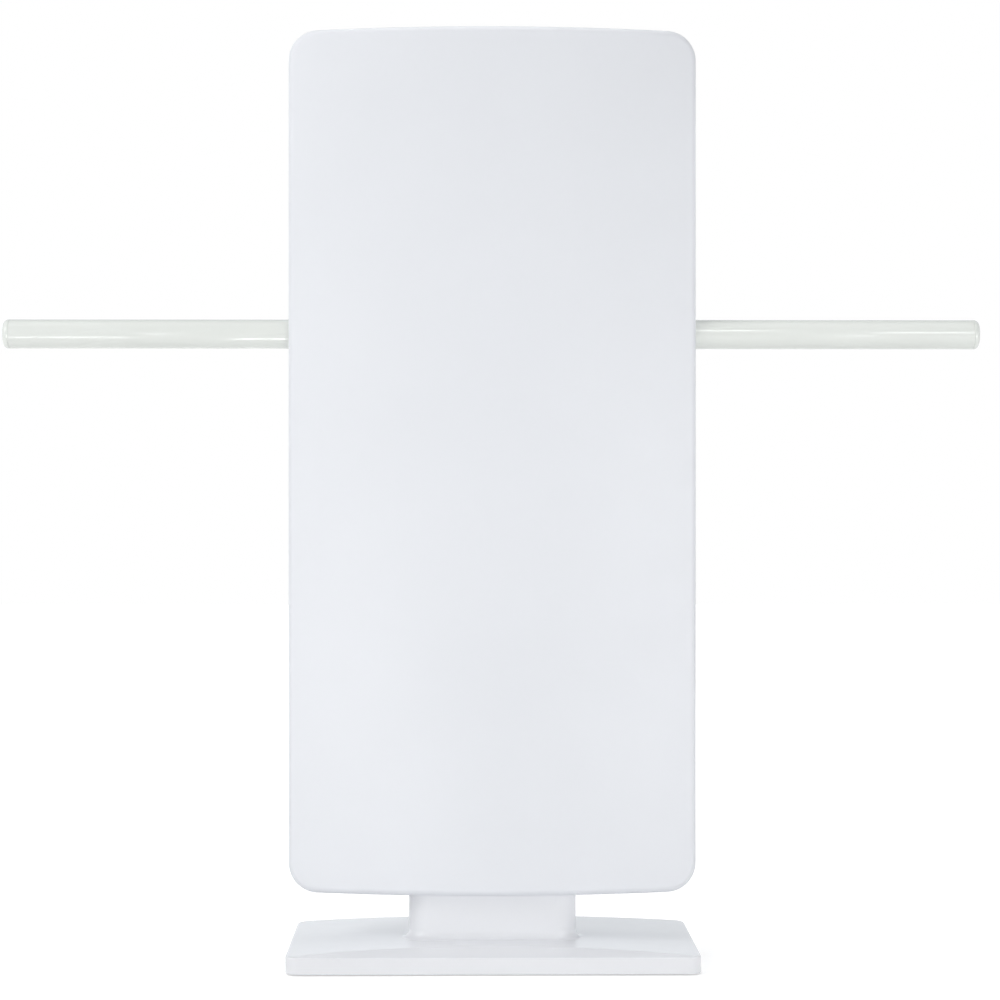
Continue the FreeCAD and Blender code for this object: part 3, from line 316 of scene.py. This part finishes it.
# Shank: core and ridge by its radius, wound part by its length
CORE_SHARE, RIDGE_SHARE, WOUND_SHARE = 0.80, 0.12, 0.9


def screw_tree():
    """A domed screw with a cross recess and a wound thread. Its seat is the origin, its head is up."""
    tree = Tree("cross_head_screw", [
        "Head Radius", "Head Height", "Dome", "Shank Radius", "Shank Length", "Pitch",
    ])
    size = tree.sizes
    head = tree.disc(size["Head Radius"], size["Head Height"], 0.0)
    dome = tree.ball(size["Dome"], tree.sum("SUBTRACT", size["Head Height"], size["Dome"]), 64)
    domed = tree.cut("INTERSECT", head, [dome])
    long = tree.times(size["Head Radius"], SLOT_LONG)
    wide = tree.times(size["Head Radius"], SLOT_WIDE)
    slots = []
    for across, deep in ((long, wide), (wide, long)):
        block = tree.add("ShaderNodeCombineXYZ", X=across, Y=deep, Z=size["Head Height"])
        slot = tree.add("GeometryNodeMeshCube", Size=block.outputs["Vector"])
        slots.append(tree.moved(slot.outputs["Mesh"], tree.times(size["Head Height"], SLOT_UP)))
    recessed = tree.cut("DIFFERENCE", domed, slots)
    low = tree.times(size["Shank Length"], -1.0)
    shank = tree.disc(tree.times(size["Shank Radius"], CORE_SHARE), size["Shank Length"], low, 24)
    ridge = tree.times(size["Shank Radius"], RIDGE_SHARE)
    crest = tree.sum("SUBTRACT", size["Shank Radius"], ridge)
    run = tree.times(size["Shank Length"], WOUND_SHARE)
    wound = tree.thread(crest, ridge, size["Pitch"], run, low)
    tree.finish([recessed, shank, wound], seed=7)
    return tree


# Ridge by the pitch, wound part by the insert's length
INSERT_RIDGE, INSERT_WOUND = 0.36, 0.86


def insert_tree():
    """A brass sleeve with softened rims and a thread inside. Its mouth lies at the origin."""
    tree = Tree("threaded_insert", ["Radius", "Bore", "Length", "Pitch", "Soft"])
    size = tree.sizes
    low = tree.times(size["Length"], -1.0)
    sleeve = tree.sleeve(size["Bore"], size["Radius"], size["Length"], low, size["Soft"])
    ridge = tree.times(size["Pitch"], INSERT_RIDGE)
    run = tree.times(size["Length"], INSERT_WOUND)
    wound = tree.thread(size["Bore"], ridge, size["Pitch"], run, low)
    tree.finish([sleeve, wound], seed=3)
    return tree


# Ridge, plain lead-in and plain part of the free length, all by the pitch
JACK_RIDGE, JACK_LEAD, JACK_PLAIN = 0.34, 0.7, 1.6
# Ball that rounds the flange's corners: radius by the corners' reach, drop by the flange's thickness
BALL_SHARE, BALL_DROP = 1.04, 0.3


def jack_tree():
    """A threaded outlet: barrel, wound thread, six-sided flange and tail. Its flange seat is the origin."""
    tree = Tree("threaded_outlet", [
        "Radius", "Bore", "Free", "Tail", "Flats", "Flange", "Pitch", "Soft",
    ])
    size = tree.sizes
    ridge = tree.times(size["Pitch"], JACK_RIDGE)
    root = tree.sum("SUBTRACT", size["Radius"], ridge)
    below = tree.sum("ADD", size["Free"], size["Flange"])
    low = tree.times(below, -1.0)
    whole = tree.sum("ADD", below, size["Tail"])
    barrel = tree.sleeve(size["Bore"], root, whole, low, size["Soft"])
    run = tree.sum("SUBTRACT", size["Free"], tree.times(size["Pitch"], JACK_PLAIN))
    start = tree.sum("ADD", low, tree.times(size["Pitch"], JACK_LEAD))
    wound = tree.thread(root, ridge, size["Pitch"], run, start)
    corner = tree.sum("DIVIDE", size["Flats"], 2.0 * math.cos(math.pi / 6))
    foot = tree.times(size["Flange"], -1.0)
    blank = tree.disc(corner, size["Flange"], foot, 6)
    ball = tree.ball(tree.times(corner, BALL_SHARE), tree.times(foot, BALL_DROP), 96)
    rounded = tree.cut("INTERSECT", blank, [ball])
    # The hole's cutter reaches one thickness past each face of the flange
    hole = tree.disc(size["Bore"], tree.times(size["Flange"], 3.0), tree.times(foot, 2.0))
    tree.finish([barrel, wound, tree.cut("DIFFERENCE", rounded, [hole])], seed=0)
    return tree


def solid_boxes(node_name):
    """The box of every separate solid in a CAD node, in the order of their places."""
    work = bmesh.new()
    work.from_mesh(frame["nodes"][node_name].data)
    bmesh.ops.remove_doubles(work, verts=work.verts, dist=0.001 * MM)
    left = set(work.verts)
    boxes = []
    while left:
        island = [left.pop()]
        for vert in island:
            for edge in vert.link_edges:
                other = edge.other_vert(vert)
                if other in left:
                    left.remove(other)
                    island.append(other)
        low = Vector([min(vert.co[axis] for vert in island) for axis in range(3)])
        high = Vector([max(vert.co[axis] for vert in island) for axis in range(3)])
        boxes.append((low, high))
    work.free()
    return sorted(boxes, key=lambda box: tuple(round(value, 5) for value in box[0]))


def grow(name, tree, places, sizes, turn, slot, *nodes):
    """Run a tree at those places and keep its result as a plain mesh that stands for the CAD nodes."""
    seeds = bpy.data.meshes.new(f"{name}_places")
    seeds.from_pydata([tuple(place) for place in places], [], [])
    carrier = bpy.data.objects.new(f"{name}_carrier", seeds)
    scene.collection.objects.link(carrier)
    modifier = carrier.modifiers.new("grow", "NODES")
    modifier.node_group = tree.group
    values = dict(sizes, Turn=turn, Material=finishes[slot])
    for item in tree.group.interface.items_tree:
        if item.in_out == "INPUT" and item.name in values:
            modifier[item.identifier] = values[item.name]
    bpy.context.view_layer.update()
    grown = carrier.evaluated_get(bpy.context.evaluated_depsgraph_get())
    mesh = bpy.data.meshes.new_from_object(grown)
    bpy.data.objects.remove(carrier)
    mesh.name = name
    work = bmesh.new()
    work.from_mesh(mesh)
    bmesh.ops.remove_doubles(work, verts=work.verts, dist=0.0005 * MM)
    bmesh.ops.recalc_face_normals(work, faces=work.faces)
    work.to_mesh(mesh)
    work.free()
    mesh.shade_smooth()
    mesh.set_sharp_from_angle(angle=math.radians(34.0))
    piece = bpy.data.objects.new(name, mesh)
    scene.collection.objects.link(piece)
    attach(piece, "root")
    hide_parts(*nodes)


# Screws, inserts and the outlet

# Turns of a piece's own axis from straight up
TO_BACK = (-math.pi / 2, 0.0, 0.0)
TO_FLOOR = (math.pi, 0.0, 0.0)
UPWARD = (0.0, 0.0, 0.0)
COVER_SCREW = {"head_height": 2.4 * MM, "dome": 6.4 * MM, "pitch": 1.3 * MM}
BASE_SCREW = {"head_height": 1.3 * MM, "dome": 6.0 * MM, "pitch": 1.1 * MM}
# The shank's radius by the head's
SHANK_SHARE = 0.515
SOFT_EDGE = 0.25 * MM
INSERT_PITCH = 0.7 * MM
JACK_BORE, JACK_FLATS, JACK_FLANGE, JACK_PITCH = 3.6 * MM, 11.0 * MM, 3.0 * MM, 0.794 * MM
mount_sizes = {mount["name"]: mount["dims"] for mount in frame["record"]["mounts"]}
screw = screw_tree()


def drive_screws(name, node_name, turn, head_height, dome, pitch):
    """Screws in the places of a CAD node's solids, with their heads to the back or to the floor."""
    boxes = solid_boxes(node_name)
    first_low, first_high = boxes[0]
    across = (first_high.x - first_low.x) / 2
    axis = 1 if turn == TO_BACK else 2
    length = first_high[axis] - first_low[axis] - head_height
    places = []
    for low, high in boxes:
        place = (low + high) / 2
        place[axis] = high.y - head_height if turn == TO_BACK else low.z + head_height
        places.append(place)
    sizes = {
        "Head Radius": across, "Head Height": head_height, "Dome": dome,
        "Shank Radius": across * SHANK_SHARE, "Shank Length": length, "Pitch": pitch,
    }
    grow(name, screw, places, sizes, turn, "screw_steel", node_name)


def press_inserts():
    """Threaded inserts in the bracket pad, with their mouths to the back."""
    boxes = solid_boxes("bracket_inserts")
    first_low, first_high = boxes[0]
    sizes = {
        "Radius": (first_high.x - first_low.x) / 2, "Length": first_high.y - first_low.y,
        "Bore": mount_sizes["bracket_holes"]["hole_r_mm"] * MM, "Pitch": INSERT_PITCH, "Soft": SOFT_EDGE,
    }
    places = [((low.x + high.x) / 2, high.y, (low.z + high.z) / 2) for low, high in boxes]
    grow("bracket_insert_set", insert_tree(), places, sizes, TO_BACK, "insert_brass", "bracket_inserts")


def seat_outlet():
    """The coax outlet, with its free end down and its flange against the top of the bay."""
    low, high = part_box("coax_jack")
    free = mount_sizes["coax_jack"]["length_mm"] * MM
    seat = low.z + free + JACK_FLANGE
    sizes = {
        "Radius": mount_sizes["coax_jack"]["r_mm"] * MM, "Bore": JACK_BORE, "Free": free,
        "Tail": high.z - seat, "Flats": JACK_FLATS, "Flange": JACK_FLANGE,
        "Pitch": JACK_PITCH, "Soft": SOFT_EDGE,
    }
    place = ((low.x + high.x) / 2, (low.y + high.y) / 2, seat)
    grow("coax_outlet", jack_tree(), [place], sizes, UPWARD, "jack_nickel", "coax_jack")


drive_screws("cover_screw_set", "cover_screws", TO_BACK, **COVER_SCREW)
drive_screws("neck_screw_set", "neck_screws", TO_BACK, **COVER_SCREW)
drive_screws("base_screw_set", "bottom_screws", TO_FLOOR, **BASE_SCREW)
press_inserts()
seat_outlet()


# Floor, studio light and camera

FLOOR_HALF = 6.0
PAPER = (0.80, 0.80, 0.80, 1.0)
# The sheet's own glow near the object and far from it, and the distances where it starts and ends its rise
NEAR_GLOW, FAR_GLOW = 0.50, 0.78
GLOW_START, GLOW_END = 0.15, 0.80
# Room light from the front and from the back, and how far either side of the middle it changes
FRONT_FILL, BACK_FILL, FILL_TURN = 0.42, 0.50, 0.4
FILL_TINT = (0.98, 0.99, 1.0, 1.0)
# The room that glossy pieces mirror: it dims to the ceiling's strength between the low and the high rise
MIRROR_TINT = (0.92, 0.96, 1.0, 1.0)
CEILING, CEILING_LOW, CEILING_HIGH = 0.45, 0.2, 0.8
WHITE = (1.0, 1.0, 1.0, 1.0)


def node_in(tree, kind, operation=None, **values):
    """A shader node in a floor or world tree, with its sockets set by name."""
    node = tree.nodes.new(kind)
    if operation:
        node.operation = operation
    for name, value in values.items():
        node.inputs[name.replace("_", " ")].default_value = value
    return node


def larger(tree, first, second):
    node = node_in(tree, "ShaderNodeMath", "MAXIMUM")
    tree.links.new(first, node.inputs[0])
    tree.links.new(second, node.inputs[1])
    return node.outputs[0]


def mixed(tree, factor, first, second):
    node = node_in(tree, "ShaderNodeMixShader")
    tree.links.new(factor, node.inputs["Fac"])
    tree.links.new(first, node.inputs[1])
    tree.links.new(second, node.inputs[2])
    return node.outputs[0]


def spread(tree, source, low, high, start, stop, target):
    """Feed the target from start to stop as the source runs from low to high."""
    node = node_in(tree, "ShaderNodeMapRange", From_Min=low, From_Max=high, To_Min=start, To_Max=stop)
    tree.links.new(source, node.inputs["Value"])
    tree.links.new(node.outputs["Result"], target)


def paper_white():
    """White sheet that keeps a faint shadow, and glows up to white for the camera and for reflections."""
    material = bpy.data.materials.new("paper_white")
    material.use_nodes = True
    tree = material.node_tree
    tree.nodes.clear()
    path = node_in(tree, "ShaderNodeLightPath").outputs
    sheet = node_in(tree, "ShaderNodeBsdfDiffuse", Color=PAPER)
    away = node_in(tree, "ShaderNodeVectorMath", "LENGTH")
    tree.links.new(node_in(tree, "ShaderNodeTexCoord").outputs["Object"], away.inputs[0])
    glow = node_in(tree, "ShaderNodeEmission")
    distance = away.outputs["Value"]
    spread(tree, distance, GLOW_START, GLOW_END, NEAR_GLOW, FAR_GLOW, glow.inputs["Strength"])
    both = node_in(tree, "ShaderNodeAddShader")
    tree.links.new(sheet.outputs[0], both.inputs[0])
    tree.links.new(glow.outputs[0], both.inputs[1])
    mirrored = larger(tree, path["Is Glossy Ray"], path["Is Transmission Ray"])
    seen = larger(tree, path["Is Camera Ray"], mirrored)
    output = node_in(tree, "ShaderNodeOutputMaterial")
    tree.links.new(mixed(tree, seen, sheet.outputs[0], both.outputs[0]), output.inputs["Surface"])
    return material


def lay_floor(half):
    mesh = bpy.data.meshes.new("floor")
    corners = [(-half, -half, 0), (half, -half, 0), (half, half, 0), (-half, half, 0)]
    mesh.from_pydata(corners, [], [(0, 1, 2, 3)])
    mesh.materials.append(paper_white())
    floor = bpy.data.objects.new("floor", mesh)
    scene.collection.objects.link(floor)


def light_world():
    """Room light from front and back. The camera sees white, and glossy pieces see the mirrored room."""
    world = bpy.data.worlds.new("studio")
    scene.world = world
    world.use_nodes = True
    tree = world.node_tree
    tree.nodes.clear()
    path = node_in(tree, "ShaderNodeLightPath").outputs
    toward = node_in(tree, "ShaderNodeSeparateXYZ")
    tree.links.new(node_in(tree, "ShaderNodeTexCoord").outputs["Generated"], toward.inputs[0])
    fill = node_in(tree, "ShaderNodeBackground", Color=FILL_TINT)
    back = toward.outputs["Y"]
    spread(tree, back, -FILL_TURN, FILL_TURN, FRONT_FILL, BACK_FILL, fill.inputs["Strength"])
    mirror = node_in(tree, "ShaderNodeBackground", Color=MIRROR_TINT)
    rise = toward.outputs["Z"]
    spread(tree, rise, CEILING_LOW, CEILING_HIGH, 1.0, CEILING, mirror.inputs["Strength"])
    white = node_in(tree, "ShaderNodeBackground", Color=WHITE, Strength=1.0)
    glossy = larger(tree, path["Is Glossy Ray"], path["Is Transmission Ray"])
    room = mixed(tree, glossy, fill.outputs[0], mirror.outputs[0])
    output = node_in(tree, "ShaderNodeOutputWorld")
    tree.links.new(mixed(tree, path["Is Camera Ray"], room, white.outputs[0]), output.inputs["Surface"])


def hang_lamp(name, place, aim, width, height, power, mirrored=True):
    """A soft box at that place, turned to its aim. Glossy pieces mirror it, unless told not to."""
    lamp = bpy.data.lights.new(name, "AREA")
    lamp.shape = "RECTANGLE"
    lamp.size = width
    lamp.size_y = height
    lamp.energy = power
    holder = bpy.data.objects.new(name, lamp)
    holder.location = place
    holder.rotation_euler = (Vector(aim) - Vector(place)).to_track_quat("-Z", "Y").to_euler()
    holder.visible_camera = False
    holder.visible_glossy = mirrored
    scene.collection.objects.link(holder)
    return holder


# Name, place, aim, width and height in metres, power in watts, and whether glossy pieces mirror it
STUDIO_LAMPS = (
    ("left_high", (-2.0, -1.0, 1.6), (0.0, 0.0, 0.35), 1.0, 1.0, 21.2, True),
    ("left_over", (-1.4, 0.1, 1.7), (0.0, 0.0, 0.20), 0.4, 0.4, 1.2, True),
    ("left_near", (-0.75, -0.95, 0.30), (0.0, 0.0, 0.12), 0.35, 0.20, 1.5, True),
    ("right_near", (0.75, -0.95, 0.30), (0.0, 0.0, 0.12), 0.35, 0.20, 1.4, True),
    ("right_low", (1.4, -1.6, 0.13), (0.0, 0.0, 0.20), 0.8, 0.22, 9.2, True),
    ("overhead", (0.0, -0.1, 2.0), (0.0, 0.0, 0.0), 1.4, 1.2, 3.6, True),
    ("top_rim", (0.0, 0.0, 0.95), (0.0, 0.0, 0.0), 0.36, 0.06, 0.25, True),
    ("right_rod_top", (0.250, 0.0, 0.62), (0.250, 0.0, 0.45), 0.10, 0.04, 0.024, False),
    ("back_wide", (-0.7, 2.2, 0.62), (0.0, 0.0, 0.33), 1.6, 0.8, 12.0, False),
)
EYE = Vector((-0.022, -1.789, 0.327))
LENS, SENSOR, SHIFT = 89.9, 36.0, 0.0078
# The rods' radius, and the height of their axis
ROD_RADIUS, ROD_UP = 10.5 * MM, 445.6 * MM
# How tall a strip is, its least height above the floor and its greatest distance from the rod
STREAK_TALL, STREAK_LOW, STREAK_REACH = 0.09, 0.04, 1.0
# Start and end of each streak along X in mm, how far its normal leans up in degrees, and its glow
ROD_STREAKS = (
    (-342, -260, -15.9, 9.5), (-247, -229, -3.0, 13.5), (-187, -143, -22.5, 11.0),
    (141, 201, 11.8, 12.0), (249, 268, -7.9, 13.5), (274, 347, 4.5, 11.5),
)


def hang_streak(name, start, end, lean, glow):
    """A small strip where the rod mirrors it to the camera as a thin streak from start to end."""
    normal = Vector((0.0, -math.cos(lean), math.sin(lean)))
    ends = []
    for across in (start, end):
        spot = Vector((across, 0.0, ROD_UP)) + normal * ROD_RADIUS
        sight = (EYE - spot).normalized()
        away = 2.0 * normal.dot(sight) * normal - sight
        reach = STREAK_REACH
        if away.z < 0.0:
            reach = min(reach, (ROD_UP - STREAK_LOW) / -away.z)
        ends.append(spot + away * reach)
    middle = (ends[0] + ends[1]) / 2
    long = (ends[1] - ends[0]).length
    power = glow * math.pi * long * STREAK_TALL
    strip = hang_lamp(name, middle, ((start + end) / 2, 0.0, ROD_UP), long, STREAK_TALL, power)
    strip.visible_diffuse = False


def set_camera():
    """A level camera at the photograph's height and distance, turned to the middle of the object."""
    lens = bpy.data.cameras.new("camera")
    lens.lens = LENS
    lens.sensor_width = SENSOR
    lens.shift_x = SHIFT
    camera = bpy.data.objects.new("camera", lens)
    camera.location = EYE
    camera.rotation_euler = (math.pi / 2, 0.0, math.atan2(EYE.x, -EYE.y))
    scene.collection.objects.link(camera)
    scene.camera = camera


lay_floor(FLOOR_HALF)
light_world()
for row in STUDIO_LAMPS:
    hang_lamp(*row)
for number, (start, end, lean, glow) in enumerate(ROD_STREAKS):
    hang_streak(f"rod_streak_{number + 1}", start * MM, end * MM, math.radians(lean), glow)
set_camera()
scene.view_settings.view_transform = "Standard"
